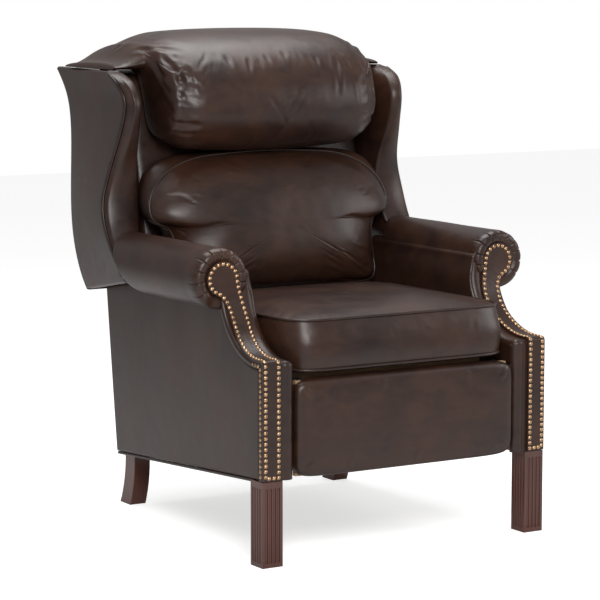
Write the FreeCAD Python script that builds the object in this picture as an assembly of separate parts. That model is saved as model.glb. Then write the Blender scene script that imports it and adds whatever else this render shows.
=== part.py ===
import FreeCAD, Part
import math
import os

# A wingback recliner with rolled arms on tall legs. Millimetres, +Z up, the chair faces -Y.
# The base stands still. The back reclines, the seat slides forward with it, and a
# lazy-tongs linkage in steel plates throws the footrest out. Depths in this file are
# measured from the front faces of the front legs; save() moves every piece so that
# the origin lies on the floor under the middle of the overall depth.

# Widths
seat_half = 272.0
cushion_side_gap = 8.0
arm_width = 80.0
side_panel_t = 12.0
side_taper = 3.42
arm_pad_t = 12.0
arm_board_t = 20.0
# Heights
leg_height = 182.0
leg_size = 49.0
footrest_height = 207.0
footrest_gap = 8.0
cushion_t = 115.0
cushion_rear = 516.0
# Arm
roll_r = 65.0
roll_height = 590.0
scoop_r = 149.0
arm_setback = 170.0
scoop_below_roll = 4.0
ear_r = 10.0
front_proud = 3.0
nail_panel_t = 6.0
facing_t = 12.0
arm_rear = 598.0
# Base
base_depth = 752.0
base_rise = 58.0
rear_leg_h = 119.0
post_d = 51.0
rear_post_y = 700.0
rear_panel_t = 10.0
rear_panel_top = 470.0
side_rail_h = 40.0
side_rail_z = 190.0
# Back
recline_y = 560.0
recline_z = 430.0
stile_y = 645.0
stile_z = 480.0
stile_d = 45.0
stile_w = 28.0
lean = 13.4
back_pad_t = 50.0
back_pad_bottom = 545.0
back_top = 1006.0
back_depth = 997.0
wing_top = 1009.0
wing_board_t = 14.0
wing_clear_z = 600.0
back_half = 338.0
outside_back_t = 12.0
# Mechanism
plate_t = 3.0
layer_gap = 1.0
tongs_y = 165.0
tongs_z = 368.0
tongs_link = 190.0
tongs_slope = 5.0
tongs_closed = 73.0
tongs_open = 19.0
link_w = 22.0
pin_r = 4.0
pivot_r = 5.0
recline_pin_r = 6.0
pin_clear = 0.2
slot_clear = 0.3
loose_clear = 3.2
tube_r = 8.0
crank_drop = 38.4
recline_angle = 30.0
seat_travel = 45.0
seat_lift = 8.0
# Fabric and trim
soft_clear = 0.3
welt_r = 3.5
spring_r = 1.8
nail_r = 4.5
nail_h = 2.6
nail_pitch = 11.5
nail_margin = 6.0
nail_lift = 0.1
soft_points = 32
wing_steps = 4

# Worked out from the sizes above
V = FreeCAD.Vector
arm_inner = seat_half + cushion_side_gap
base_half = arm_inner + arm_width
roll_x = base_half - 2.0
scoop_z = roll_height - scoop_below_roll
scoop_y = arm_setback - scoop_r
ear_z = scoop_z - scoop_r
footrest_top = leg_height + footrest_height
cushion_bottom = footrest_top + footrest_gap
cushion_top = cushion_bottom + cushion_t
base_level = post_d + 9.0
depth_centre = (back_depth - front_proud - 2.0) / 2.0
lean_slope = math.tan(math.radians(lean))
taper_slope = math.tan(math.radians(side_taper))
plate_out = arm_inner - 13.0
plate_in = plate_out - plate_t
layer = plate_t + layer_gap
FAR = 2000.0


def stile_front(z):
    """Depth of the stiles' front faces, which lean back, at a height."""
    return stile_y + (z - stile_z) * lean_slope


def save(name, shape):
    moved = shape.copy()
    moved.translate(V(0, -depth_centre, 0))
    moved.exportStep("parts/%s.step" % name)


def save_pair(name, right):
    """Saves a right-hand piece and its mirror image; right is +X."""
    save(name + "_right", right)
    save(name + "_left", right.mirror(V(0, 0, 0), V(1, 0, 0)))


def both(right):
    return Part.makeCompound([right, right.mirror(V(0, 0, 0), V(1, 0, 0))])


def box(x0, x1, y0, y1, z0, z1):
    return Part.makeBox(x1 - x0, y1 - y0, z1 - z0, V(x0, y0, z0))


def side_prism(points, x0, x1):
    """Extrudes a closed outline of (depth, height) points from x0 to x1."""
    loop = [V(x0, y, z) for y, z in points]
    face = Part.Face(Part.makePolygon(loop + [loop[0]]))
    return face.extrude(V(x1 - x0, 0, 0))


def round_bar(p, q, r, x0, x1):
    """A flat bar with round ends between two (depth, height) points."""
    dy, dz = q[0] - p[0], q[1] - p[1]
    length = math.hypot(dy, dz)
    ny, nz = -dz / length * r, dy / length * r
    uy, uz = dy / length * r, dz / length * r
    a, b = V(x0, p[0] + ny, p[1] + nz), V(x0, q[0] + ny, q[1] + nz)
    c, d = V(x0, q[0] - ny, q[1] - nz), V(x0, p[0] - ny, p[1] - nz)
    edges = [Part.makeLine(a, b),
             Part.Arc(b, V(x0, q[0] + uy, q[1] + uz), c).toShape(),
             Part.makeLine(c, d),
             Part.Arc(d, V(x0, p[0] - uy, p[1] - uz), a).toShape()]
    return Part.Face(Part.Wire(edges)).extrude(V(x1 - x0, 0, 0))


def cross_pin(p, r, x0, x1):
    return Part.makeCylinder(r, x1 - x0, V(x0, p[0], p[1]), V(1, 0, 0))


def layer_x(n):
    """Outer and inner faces of link layer n, counted inwards from the side plate."""
    out = plate_in - layer_gap - n * layer
    return out - plate_t, out


# The scooped front of the arm, as seen from the side.

def arm_outline(inset, rear, bottom, top, x0, x1):
    """The arm's side outline, moved inwards by inset, extruded from x0 to x1.

    A straight front face, a rounded ear, then a concave quarter circle up to the roll."""
    r = scoop_r + inset
    front = inset - front_proud
    ear = ear_z - inset
    points = {
        "foot": V(x0, front, bottom), "ear_low": V(x0, front, ear - ear_r),
        "ear_high": V(x0, front + ear_r, ear), "scoop_low": V(x0, scoop_y, ear),
        "scoop_high": V(x0, scoop_y + r, scoop_z), "head": V(x0, scoop_y + r, top),
        "rear_top": V(x0, rear, top), "rear_foot": V(x0, rear, bottom),
    }
    half = math.sqrt(0.5)
    ear_mid = V(x0, front + ear_r * (1 - half), ear - ear_r * (1 - half))
    scoop_mid = V(x0, scoop_y + r * half, scoop_z - r * half)
    p = points
    edges = [Part.makeLine(p["foot"], p["ear_low"]),
             Part.Arc(p["ear_low"], ear_mid, p["ear_high"]).toShape(),
             Part.makeLine(p["ear_high"], p["scoop_low"]),
             Part.Arc(p["scoop_low"], scoop_mid, p["scoop_high"]).toShape(),
             Part.makeLine(p["scoop_high"], p["head"]),
             Part.makeLine(p["head"], p["rear_top"]),
             Part.makeLine(p["rear_top"], p["rear_foot"]),
             Part.makeLine(p["rear_foot"], p["foot"])]
    return Part.Face(Part.Wire(edges)).extrude(V(x1 - x0, 0, 0))


def outside_of_taper(inset):
    """Everything outboard of the side panel's tapered outer face, moved in by inset."""
    block = box(base_half - inset, base_half + FAR, -FAR, FAR, -FAR, FAR)
    return block.rotate(V(base_half, 0, 0), V(0, 0, 1), side_taper)


def base_bottom(y):
    """Height of the base's bottom edge, level at the front and falling to the rear."""
    if y <= base_level:
        return leg_height
    return leg_height - (y - base_level) * base_rise / (base_depth - base_level)


def make_arm_roll():
    cyl = Part.makeCylinder(roll_r, FAR, V(roll_x, 0, roll_height), V(0, 1, 0))
    rear_low = (485.0, 520.0)
    rear_high = (605.0, 670.0)
    keep = side_prism([(0, rear_low[1]), rear_low, rear_high, (0, rear_high[1])],
                      roll_x - roll_r - 1, roll_x + roll_r + 1)
    front = arm_outline(nail_panel_t, FAR, 0, FAR, roll_x - roll_r - 1, roll_x + roll_r + 1)
    return cyl.common(keep).common(front)


def make_arm_board():
    x0 = arm_inner + arm_pad_t
    inset = nail_panel_t + facing_t
    board = arm_outline(inset, arm_rear, side_rail_z + side_rail_h, roll_height + 10,
                        x0, x0 + arm_board_t)
    front = inset - front_proud + post_d
    return board.cut(box(x0 - 1, x0 + arm_board_t + 1, -FAR, front, 0, FAR))


def make_side_panel(roll):
    inset = nail_panel_t + facing_t
    x0 = base_half - side_panel_t
    sides = arm_outline(inset, FAR, 0, FAR, x0, base_half)
    rear_low = rear_edge(base_bottom(base_depth))
    top_rear = rear_edge(wing_bottom(805.0) - 14.0)
    outline = [(-10, base_bottom(0)), (post_d + 9, base_bottom(0)),
               (rear_low, base_bottom(base_depth)),
               (top_rear, wing_bottom(805.0) - 14.0),
               (520.0, wing_bottom(520.0) - 14.0), (-10, wing_bottom(520.0) - 14.0)]
    panel = sides.common(side_prism(outline, x0, base_half))
    panel.rotate(V(base_half, 0, 0), V(0, 0, 1), side_taper)
    return panel.cut(roll)


def rear_edge(z):
    """Depth of the base's rear face, which leans back, at a height."""
    return base_depth + (z - base_bottom(base_depth)) * 0.138


def wing_bottom(y):
    """Height of the wings' lower edge, which falls to the rear square to the back."""
    return 549.0 - (y - 515.0) * 0.1617


def make_arm_cover(roll, board, panel):
    """One leather cover: rolled arm, inner arm pad and the facing over the front post."""
    top = roll_height
    slab = arm_outline(nail_panel_t, arm_rear, leg_height, top, arm_inner, base_half)
    slab = slab.cut(outside_of_taper(0))
    inset = nail_panel_t + facing_t
    hollow = arm_outline(inset, FAR, 0, FAR, arm_inner + arm_pad_t, FAR)
    slab = slab.cut(hollow)
    under_seat = box(0, arm_inner + arm_pad_t, inset - front_proud + post_d, FAR,
                     0, cushion_bottom - 5)
    slab = slab.cut(under_seat)
    cover = slab.fuse(roll).removeSplitter()
    return cover.cut(board).cut(panel)


def make_front_post():
    y0 = nail_panel_t + facing_t - front_proud
    x0 = arm_inner + arm_pad_t
    inset = nail_panel_t + facing_t
    post = box(x0, base_half - 1, y0, y0 + post_d, leg_height, ear_z - inset - ear_r)
    return post.cut(outside_of_taper(side_panel_t))


def panel_half_outline(margin):
    """The nailed panel's outline from the front: (across, height) edges of a keyhole.

    A straight strip that narrows over the scoop and swells to a round head."""
    head_x, head_z = roll_x - 3.5, roll_height - 1.0
    head_r = roll_r * 0.6 - margin
    foot = leg_height + 2 + margin
    inner = base_half - 44 + margin
    outer = base_half - 0.5 - margin

    def on_head(deg):
        a = math.radians(deg)
        return V(head_x + head_r * math.cos(a), 0, head_z + head_r * math.sin(a))

    left = Part.BSplineCurve()
    left.interpolate([V(inner, 0, ear_z), V(inner - 9, 0, ear_z + 43),
                      V(inner - 11, 0, ear_z + 83), V(inner - 5, 0, ear_z + 122),
                      on_head(168)])
    right = Part.BSplineCurve()
    right.interpolate([on_head(-48), V(outer - 4, 0, ear_z + 104),
                       V(outer - 9.5, 0, ear_z + 68), V(outer - 6, 0, ear_z + 28),
                       V(outer, 0, ear_z)])
    return [Part.makeLine(V(inner, 0, foot), V(inner, 0, ear_z)), left.toShape(),
            Part.Arc(on_head(168), on_head(60), on_head(-48)).toShape(), right.toShape(),
            Part.makeLine(V(outer, 0, ear_z), V(outer, 0, foot)),
            Part.makeLine(V(outer, 0, foot), V(inner, 0, foot))]


def make_front_panel():
    face = Part.Face(Part.Wire(panel_half_outline(0)))
    face.translate(V(0, -100, 0))
    column = face.extrude(V(0, 400, 0))
    x0, x1 = base_half - 100, base_half + 60
    band = arm_outline(0, 300, leg_height, 700, x0, x1)
    band = band.cut(arm_outline(nail_panel_t, 301, 0, 701, x0 - 1, x1 + 1))
    return column.common(band)


def scoop_point(run, inset):
    """Depth, height and outward normal at a distance along the arm's front, from the foot."""
    ear = ear_z - inset
    front = inset - front_proud
    straight = ear - ear_r - leg_height
    quarter = ear_r * math.pi / 2
    flat = scoop_y - front - ear_r
    if run < straight:
        return front, leg_height + run, (-1, 0)
    run -= straight
    if run < quarter:
        a = run / ear_r
        y, z = front + ear_r - ear_r * math.cos(a), ear - ear_r + ear_r * math.sin(a)
        return y, z, (-math.cos(a), math.sin(a))
    run -= quarter
    if run < flat:
        return front + ear_r + run, ear, (0, 1)
    run -= flat
    r = scoop_r + inset
    if run < r * math.pi / 2:
        a = run / r
        return scoop_y + r * math.sin(a), scoop_z - r * math.cos(a), (-math.sin(a), math.cos(a))
    return scoop_y + r, scoop_z + run - r * math.pi / 2, (-1, 0)


def run_to(z, inset):
    """Distance along the arm's front at which a height is reached."""
    ear = ear_z - inset
    straight = ear - ear_r - leg_height
    before_scoop = straight + ear_r * math.pi / 2 + scoop_y - (inset - front_proud) - ear_r
    if z <= ear:
        return min(z - leg_height, straight) if z < ear - ear_r else before_scoop
    r = scoop_r + inset
    if z < scoop_z:
        return before_scoop + r * math.acos((scoop_z - z) / r)
    return before_scoop + r * math.pi / 2 + z - scoop_z


def nail(x, y, z, normal):
    """A domed nail head with its flat back on the leather."""
    ball_r = (nail_r ** 2 + nail_h ** 2) / (2 * nail_h)
    low = math.degrees(math.asin((ball_r - nail_h) / ball_r))
    dome = Part.makeSphere(ball_r, V(0, 0, 0), V(0, 0, 1), low, 90, 360)
    dome.translate(V(0, 0, nail_h - ball_r + nail_lift))
    turn = FreeCAD.Rotation(V(0, 0, 1), normal)
    dome.Placement = FreeCAD.Placement(V(x, y, z), turn).multiply(dome.Placement)
    return dome


def make_nails():
    """One closed row round the keyhole panel and one row along the arm's outer edge."""
    wire = Part.Wire(panel_half_outline(nail_margin))
    track = [(p.x, run_to(p.z, 0)) for p in wire.discretize(600)]
    lengths = [0.0]
    for a, b in zip(track, track[1:]):
        lengths.append(lengths[-1] + math.hypot(b[0] - a[0], b[1] - a[1]))
    count = int(lengths[-1] / nail_pitch)
    heads = []
    at = 0
    for i in range(count):
        goal = lengths[-1] * i / count
        while lengths[at + 1] < goal:
            at += 1
        f = (goal - lengths[at]) / (lengths[at + 1] - lengths[at])
        x = track[at][0] + f * (track[at + 1][0] - track[at][0])
        run = track[at][1] + f * (track[at + 1][1] - track[at][1])
        y, z, n = scoop_point(run, 0)
        heads.append(nail(x, y, z, V(0, n[0], n[1])))
    side_inset = nail_panel_t + nail_margin
    side_run = run_to(roll_height - roll_r - nail_pitch, side_inset)
    side_count = int(side_run / nail_pitch)
    outward = V(math.cos(math.radians(side_taper)), math.sin(math.radians(side_taper)), 0)
    for i in range(side_count):
        y, z, n = scoop_point((i + 1) * side_run / (side_count + 1), side_inset)
        heads.append(nail(base_half - y * taper_slope, y, z, outward))
    return Part.makeCompound(heads)


def make_front_leg():
    """A square leg with reeded outer faces."""
    size, x1 = leg_size, base_half
    flute_r = 3.2
    flutes = 4
    leg = box(x1 - size, x1, 0, size, 0, leg_height)
    pitch = size / (flutes + 1)
    for i in range(flutes):
        along = pitch * (i + 1)
        for x, y in ((x1 - along, 0.0), (x1, along), (x1 - size, along), (x1 - along, size)):
            leg = leg.cut(Part.makeCylinder(flute_r, leg_height - 24, V(x, y, 10)))
    return leg


def make_rear_leg():
    """A sabre leg that sweeps back to the floor."""
    x1 = base_half - 62.0
    x0 = x1 - 40.0
    top = rear_leg_h
    front = Part.Arc(V(x0, 692, top), V(x0, 697, top * 0.5), V(x0, 716, 0)).toShape()
    rear = Part.Arc(V(x0, 766, 0), V(x0, 744, top * 0.5), V(x0, 738, top)).toShape()
    edges = [front, Part.makeLine(V(x0, 716, 0), V(x0, 766, 0)), rear,
             Part.makeLine(V(x0, 738, top), V(x0, 692, top))]
    return Part.Face(Part.Wire(edges)).extrude(V(x1 - x0, 0, 0))


def make_rear_post():
    low, high = rear_leg_h, 420.0
    inner = rear_edge(low) - rear_panel_t
    post = side_prism([(rear_post_y - 8, low), (inner, low),
                       (rear_edge(high) - rear_panel_t, high), (735.0, high)],
                      plate_in - 2, base_half)
    front = box(0, FAR, -FAR, rear_post_y, side_rail_z, side_rail_z + side_rail_h)
    return post.cut(outside_of_taper(side_panel_t)).cut(front)


def make_base_wood():
    rail_in = plate_out
    rail = box(rail_in, rail_in + 33, nail_panel_t + facing_t - front_proud + post_d,
               rear_post_y, side_rail_z, side_rail_z + side_rail_h)
    rail = rail.cut(outside_of_taper(side_panel_t))
    save_pair("base_side_rail", rail)
    save_pair("front_post", make_front_post())
    save_pair("rear_post", make_rear_post())
    save("front_spreader", box(-plate_in, plate_in, 190, 220, 186, 216))
    save("rear_rail", box(2 - plate_in, plate_in - 2, rear_post_y + 5, rear_post_y + 30,
                          rear_leg_h + 6, rear_leg_h + 56))
    low = base_bottom(base_depth) + 2
    back = side_prism([(rear_edge(low) - rear_panel_t, low), (rear_edge(low), low),
                       (rear_edge(rear_panel_top), rear_panel_top),
                       (rear_edge(rear_panel_top) - rear_panel_t, rear_panel_top)],
                      -base_half, base_half)
    off = outside_of_taper(side_panel_t)
    save("rear_panel", back.cut(off).cut(off.mirror(V(0, 0, 0), V(1, 0, 0))))


def make_base_welt():
    """The welt under the side panel's bottom edge, from the front post to the rear."""
    r = welt_r
    x = base_half - side_panel_t / 2
    under = r + soft_clear
    stops = [V(x - y * taper_slope, y, base_bottom(y) - under)
             for y in (leg_size + under, base_level, base_depth - r)]
    tube = None
    for a, b in zip(stops, stops[1:]):
        piece = Part.makeCylinder(r, (b - a).Length, a, b - a)
        tube = piece if tube is None else tube.fuse(piece).fuse(Part.makeSphere(r, a))
    return tube


# The linkage. Points are (depth, height).

def tongs(fraction):
    """Pivots of the lazy tongs with the footrest in (0) to fully out (1).

    Two crossing pairs of equal links open along a gently rising line."""
    a = math.radians(tongs_closed + (tongs_open - tongs_closed) * fraction)
    slope = math.radians(tongs_slope)
    step, drop = tongs_link * math.cos(a), tongs_link * math.sin(a)
    out = (-math.cos(slope), math.sin(slope))
    up = (math.sin(slope), math.cos(slope))

    def at(steps, low):
        return (tongs_y + out[0] * step * steps - up[0] * drop * low,
                tongs_z + out[1] * step * steps - up[1] * drop * low)
    return {"root": at(0, 0), "slide": at(0, 1), "high": at(1, 0), "low": at(1, 1),
            "end": at(2, 0), "cross": at(0.5, 0.5), "cross_out": at(1.5, 0.5)}


crank_half = math.radians((tongs_closed - tongs_open) / 2)
crank_r = crank_drop / (2 * math.sin(crank_half))
crank_pin = (tongs_y + crank_r * math.sin(crank_half), tongs_z - crank_r * math.cos(crank_half))
lever_half = math.radians(recline_angle / 2)
lever_r = crank_drop / (2 * math.sin(lever_half))
lever_pin = (recline_y + lever_r * math.sin(lever_half),
             recline_z - lever_r * math.cos(lever_half))
control_reach = 140.0
control_pin = (-8.0, -35.0)
control_slot = [(-13.8, 99.5), (-5.9, 96.4)]
slot_r = pin_r + 1.7


def make_links():
    p = tongs(0)
    half = link_w / 2
    hole = pin_r + pin_clear
    l0, l1, l2, l3 = (layer_x(n) for n in range(4))

    rear = round_bar(p["root"], p["low"], half, *l1)
    rear = rear.fuse(round_bar(p["root"], crank_pin, half - 1, *l1)).removeSplitter()
    rear = rear.cut(cross_pin(p["root"], pivot_r + pin_clear, *l1))
    rear = rear.cut(cross_pin(p["low"], tube_r, *l1))
    rear = rear.fuse(cross_pin(crank_pin, pin_r, l1[0], l0[1]))
    rear = rear.fuse(cross_pin(p["cross"], pin_r, l2[0], l1[1]))
    save("tongs_rear_links", both(rear.removeSplitter()))

    crossing = round_bar(p["slide"], p["high"], half, *l2)
    crossing = crossing.cut(cross_pin(p["cross"], hole, *l2))
    crossing = crossing.fuse(cross_pin(p["slide"], pivot_r, l2[0], plate_out))
    crossing = crossing.fuse(cross_pin(p["high"], pin_r, l2[0], l1[1]))
    save("tongs_crossing_links", both(crossing.removeSplitter()))

    carrier = round_bar(p["low"], p["end"], half, *l2)
    carrier = carrier.cut(cross_pin(p["low"], tube_r + pin_clear, *l2))
    carrier = carrier.fuse(cross_pin(p["cross_out"], pin_r, l2[0], l1[1]))
    carrier = carrier.fuse(cross_pin(p["end"], pin_r, layer_x(4)[0], l2[1]))
    save("tongs_carrier_links", both(carrier.removeSplitter()))

    a = math.radians(180 - tongs_slope + tongs_closed)
    foot = (p["high"][0] + control_reach * math.cos(a), p["high"][1] + control_reach * math.sin(a))
    front = round_bar(p["high"], foot, half, *l1)
    front = front.cut(cross_pin(p["high"], hole, *l1)).cut(cross_pin(p["cross_out"], hole, *l1))
    front = front.fuse(cross_pin(foot, pin_r, l3[0], l1[1]))
    save("tongs_front_links", both(front.removeSplitter()))

    tip = (p["end"][0] + control_pin[0], p["end"][1] + control_pin[1])
    ends = [(foot[0] + y, foot[1] + z) for y, z in control_slot]
    middle = ((ends[0][0] + ends[1][0]) / 2, (ends[0][1] + ends[1][1]) / 2)
    control = round_bar(foot, middle, half - 2, *l3)
    control = control.fuse(round_bar(*ends, slot_r + 4, *l3)).removeSplitter()
    control = control.cut(cross_pin(foot, hole, *l3)).cut(round_bar(*ends, slot_r, *l3))
    save("control_links", both(control))

    rod = round_bar(crank_pin, lever_pin, half - 1.5, *l0)
    rod = rod.cut(cross_pin(crank_pin, pin_r + loose_clear, *l0)).cut(cross_pin(lever_pin, hole, *l0))
    save("drive_rods", both(rod))
    save("cross_tube", cross_pin(p["low"], tube_r, -l1[1], l1[1]).cut(
        cross_pin(p["low"], tube_r - 2, -l1[1], l1[1])))
    return tip


def make_side_plate():
    closed, opened = tongs(0), tongs(1)
    rear, top = recline_y + 26, cushion_bottom - 9
    outline = [(tongs_y - 36, side_rail_z - 6), (rear, side_rail_z), (rear, recline_z + 4),
               (recline_y + 14, recline_z + 20), (recline_y - 14, recline_z + 20),
               (recline_y - 40, top), (tongs_y - 36, top)]
    plate = side_prism(outline, plate_in, plate_out)
    plate = plate.cut(round_bar(closed["slide"], opened["slide"], pivot_r + slot_clear,
                                plate_in, plate_out))
    for pin in seat_pins():
        goal = (pin[0] - seat_travel, pin[1] + seat_lift)
        plate = plate.cut(round_bar(pin, goal, pivot_r + slot_clear, plate_in, plate_out))
    plate = plate.fuse(cross_pin(closed["root"], pivot_r, layer_x(1)[0], plate_out))
    plate = plate.fuse(cross_pin((recline_y, recline_z), recline_pin_r, layer_x(1)[0], plate_out))
    return plate.removeSplitter()


def seat_pins():
    z = cushion_bottom - 25.0
    return [(260.0, z), (480.0, z)]


# The seat

def soft_loop(half_x, half_y, middle_y, z, fall, power):
    """A closed rounded rectangle; higher powers are squarer. It falls to the rear by fall."""
    points = []
    for i in range(soft_points):
        a = 2 * math.pi * (i + 0.5) / soft_points
        c, s = math.cos(a), math.sin(a)
        x = math.copysign(abs(c) ** (2.0 / power), c) * half_x
        y = math.copysign(abs(s) ** (2.0 / power), s) * half_y
        points.append(V(x, middle_y + y, z - fall * (y + half_y) / (2 * half_y)))
    return ring_spline(points)


# Height above the cushion's bottom, inset all round, extra inset in front, squareness.
cushion_levels = [(0.0, 14.0, 8.0, 9), (4.0, 7.0, 4.0, 9), (12.0, 2.0, 0.0, 9),
                  (30.0, 0.0, 0.0, 9), (60.0, 0.0, 3.0, 9), (96.0, 2.0, 12.0, 9),
                  (107.0, 5.0, 15.0, 8), (114.0, 14.0, 19.0, 7), (118.5, 32.0, 22.0, 6),
                  (121.5, 60.0, 24.0, 5), (124.0, 100.0, 22.0, 4), (126.0, 150.0, 18.0, 3.5),
                  (127.5, 215.0, 8.0, 3)]


def make_seat_cushion():
    """A box cushion: drawn in at its welts, full between them, crowned on top."""
    front, rear = 2.0, cushion_rear
    loops = []
    for up, inset, set_back, power in cushion_levels:
        y0, y1 = front + inset + set_back, rear - inset
        fall = 3.0 if up > cushion_t / 2 else 0.0
        loops.append(soft_loop(seat_half - inset, (y1 - y0) / 2, (y0 + y1) / 2,
                               cushion_bottom + up, fall, power))
    return Part.makeLoft(loops, True, True)


def make_seat_frame():
    x1 = layer_x(4)[0] - 4
    x0 = x1 - 28
    z1 = cushion_bottom - soft_clear - 2 * spring_r
    z0 = z1 - 40
    y0, y1 = 78.0, 560.0
    side = box(x0, x1, y0, y1, z0, z1)
    for pin in seat_pins():
        side = side.fuse(cross_pin(pin, pivot_r, x1, plate_out))
    save_pair("seat_side_rail", side)
    save("seat_front_rail", box(-x0, x0, y0, y0 + 25, z0, z1))
    save("seat_rear_rail", box(-x0, x0, y1 - 25, y1, z0, z1))
    save("seat_springs", make_springs(x0, y0, y1, z1))


def make_springs(reach, y0, y1, z):
    """Five sinuous springs: flat wire waves from the front rail to the rear rail."""
    wire_r, bend, run = spring_r, 10.0, 12.0
    springs = 5
    waves = int((y1 - y0 - 20) / (2 * bend))
    start = y0 + 8
    edges = []
    for i in range(waves):
        y = start + 2 * bend * i
        side = 1 if i % 2 == 0 else -1
        a, b = V(side * run, y, 0), V(side * run, y + 2 * bend, 0)
        edges.append(Part.makeLine(V(-side * run, y, 0), a))
        edges.append(Part.Arc(a, V(side * (run + bend), y + bend, 0), b).toShape())
    path = Part.Wire(edges)
    ring = Part.Wire(Part.makeCircle(wire_r, V(-run, start, 0), V(1, 0, 0)))
    spring = path.makePipeShell([ring], True, False)
    group = []
    for i in range(springs):
        one = spring.copy()
        one.translate(V(reach * 2 * (i + 0.5) / springs - reach, 0, z + wire_r))
        group.append(one)
    return Part.makeCompound(group)


# The footrest

# Distance out from the board, inset of the edge, squareness of the corners.
footrest_levels = [(0.0, 3.0, 9), (4.0, 0.5, 9), (9.0, 0.0, 9), (14.0, 2.0, 9), (18.0, 6.0, 8),
                   (21.0, 14.0, 7), (22.8, 28.0, 6), (23.9, 52.0, 4.5), (24.5, 88.0, 3)]


def make_footrest(tip):
    half = arm_inner - 9.0
    board_y, board_t = 18.0, 12.0
    z0, z1 = leg_height, footrest_top
    board = box(2 - half, half - 2, board_y, board_y + board_t, z0 + 2, z1 - 3)
    save("footrest_board", board)

    loops = []
    for out, inset, power in footrest_levels:
        loop = soft_loop(half - inset, (z1 - z0) / 2 - inset, 0.0, 0.0, 0.0, power)
        loop.rotate(V(0, 0, 0), V(1, 0, 0), 90)
        loop.translate(V(0, board_y - out, (z0 + z1) / 2))
        loops.append(loop)
    save("footrest_pad", Part.makeLoft(loops, True, True))
    p = tongs(0)
    l4 = layer_x(4)
    rear = board_y + board_t
    outline = [(rear, z0 + 18), (rear + 13, z0 + 18), (rear + 27, p["end"][1] - 20),
               (rear + 29, p["end"][1] + 10), (rear, p["end"][1] + 10)]
    web = side_prism(outline, *l4)
    web = web.cut(cross_pin(p["end"], pin_r + pin_clear, *l4))
    web = web.fuse(box(l4[0] - 22, l4[0], rear, rear + 3, z0 + 18, p["end"][1] + 10))
    web = web.fuse(cross_pin(tip, pin_r, l4[0], layer_x(3)[1]))
    save_pair("footrest_bracket", web.removeSplitter())


# The back

def wing_station(z, front_y, front_x, inner_x, rear_y):
    """One level of the wing, read from the front edge to the rear corner."""
    return {"z": z, "fy": front_y, "fx": front_x, "ix": inner_x, "ry": rear_y}


wing_levels = [
    wing_station(490.0, 468.0, 397.0, 342.0, 846.0),
    wing_station(560.0, 524.0, 399.0, 348.0, 898.0),
    wing_station(645.0, 591.0, 402.0, 330.0, 925.0),
    wing_station(715.0, 619.0, 398.0, 318.0, 929.0),
    wing_station(790.0, 616.0, 381.0, 322.0, 926.0),
    wing_station(870.0, 588.0, 369.0, 330.0, 925.0),
    wing_station(940.0, 571.0, 364.0, 331.0, 941.0),
    wing_station(985.0, 598.0, 371.0, 336.0, 975.0),
    wing_station(wing_top, 653.0, 372.0, 340.0, back_depth),
]


def smooth_levels():
    """The wing's levels with more between them, along smooth curves."""
    def slope(i, key):
        a, b = wing_levels[max(i - 1, 0)], wing_levels[min(i + 1, len(wing_levels) - 1)]
        return (b[key] - a[key]) / (b["z"] - a["z"])
    dense = []
    for i in range(len(wing_levels) - 1):
        a, b = wing_levels[i], wing_levels[i + 1]
        rise = b["z"] - a["z"]
        for k in range(wing_steps):
            t = k / wing_steps
            level = {"z": a["z"] + rise * t}
            for key in ("fy", "fx", "ix", "ry"):
                level[key] = ((2 * t ** 3 - 3 * t ** 2 + 1) * a[key]
                              + (t ** 3 - 2 * t ** 2 + t) * rise * slope(i, key)
                              + (3 * t ** 2 - 2 * t ** 3) * b[key]
                              + (t ** 3 - t ** 2) * rise * slope(i + 1, key))
            dense.append(level)
    return dense + [wing_levels[-1]]


def wing_outer(s, y):
    """Half width of the wing's outer face at a depth on one level."""
    nose = s["fy"] + 20
    return s["fx"] - (s["fx"] - back_half) * (y - nose) / (s["ry"] - nose)


def make_wing_board(outside):
    loops = []
    for s in smooth_levels():
        y0, y1 = s["fy"] + 20, s["ry"] - outside_back_t
        x1 = wing_outer(s, y1)
        loops.append(Part.makePolygon([V(s["fx"], y0, s["z"]), V(x1, y1, s["z"]),
                                       V(x1 - wing_board_t, y1, s["z"]),
                                       V(s["fx"] - wing_board_t, y0, s["z"]),
                                       V(s["fx"], y0, s["z"])]))
    return Part.makeLoft(loops, True, True).cut(below_wings()).cut(outside)


def make_wing_pad(board):
    """The padded inner face and the thick rolled front edge of a wing."""
    loops = []
    for s in smooth_levels():
        z, fy, fx, ix = s["z"], s["fy"], s["fx"], s["ix"]
        y0 = fy + 20
        y1 = stile_front(z)
        inner_rear = max(arm_inner + 20, ix - 30) if z > wing_clear_z else ix
        board_in = wing_outer(s, y1) - wing_board_t
        a, b = V(fx, y0, z), V(ix, fy + 14, z)
        nose = Part.Arc(a, V((fx + ix) / 2 + 3, fy, z), b).toShape()
        rest = [b, V(inner_rear, y1, z), V(board_in, y1, z), V(fx - wing_board_t, y0, z), a]
        lines = [Part.makeLine(p, q) for p, q in zip(rest, rest[1:])]
        loops.append(Part.Wire([nose] + lines))
    return Part.makeLoft(loops, True, True).cut(below_wings()).cut(board)


def make_wing_welt():
    """The welt down a wing's outer face, just behind the rolled front edge."""
    r = welt_r
    points = []
    for s in wing_levels[1:]:
        y = s["fy"] + 24 + r
        z = min(s["z"], wing_top - 3)
        points.append(V(wing_outer(s, y) + r + 3 * soft_clear, y, z))
    low = wing_bottom(points[0].y) + r
    points[0] = V(points[0].x, points[0].y, max(points[0].z, low))
    curve = Part.BSplineCurve()
    curve.interpolate(points)
    ring = Part.Wire(Part.makeCircle(r, points[0], curve.tangent(curve.FirstParameter)[0]))
    return Part.Wire(curve.toShape()).makePipeShell([ring], True, True)


def below_wings():
    """The space under the wings' slanted lower edge."""
    return side_prism([(0, wing_bottom(0)), (FAR, wing_bottom(FAR)), (FAR, -FAR), (0, -FAR)],
                      0, FAR)


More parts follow.
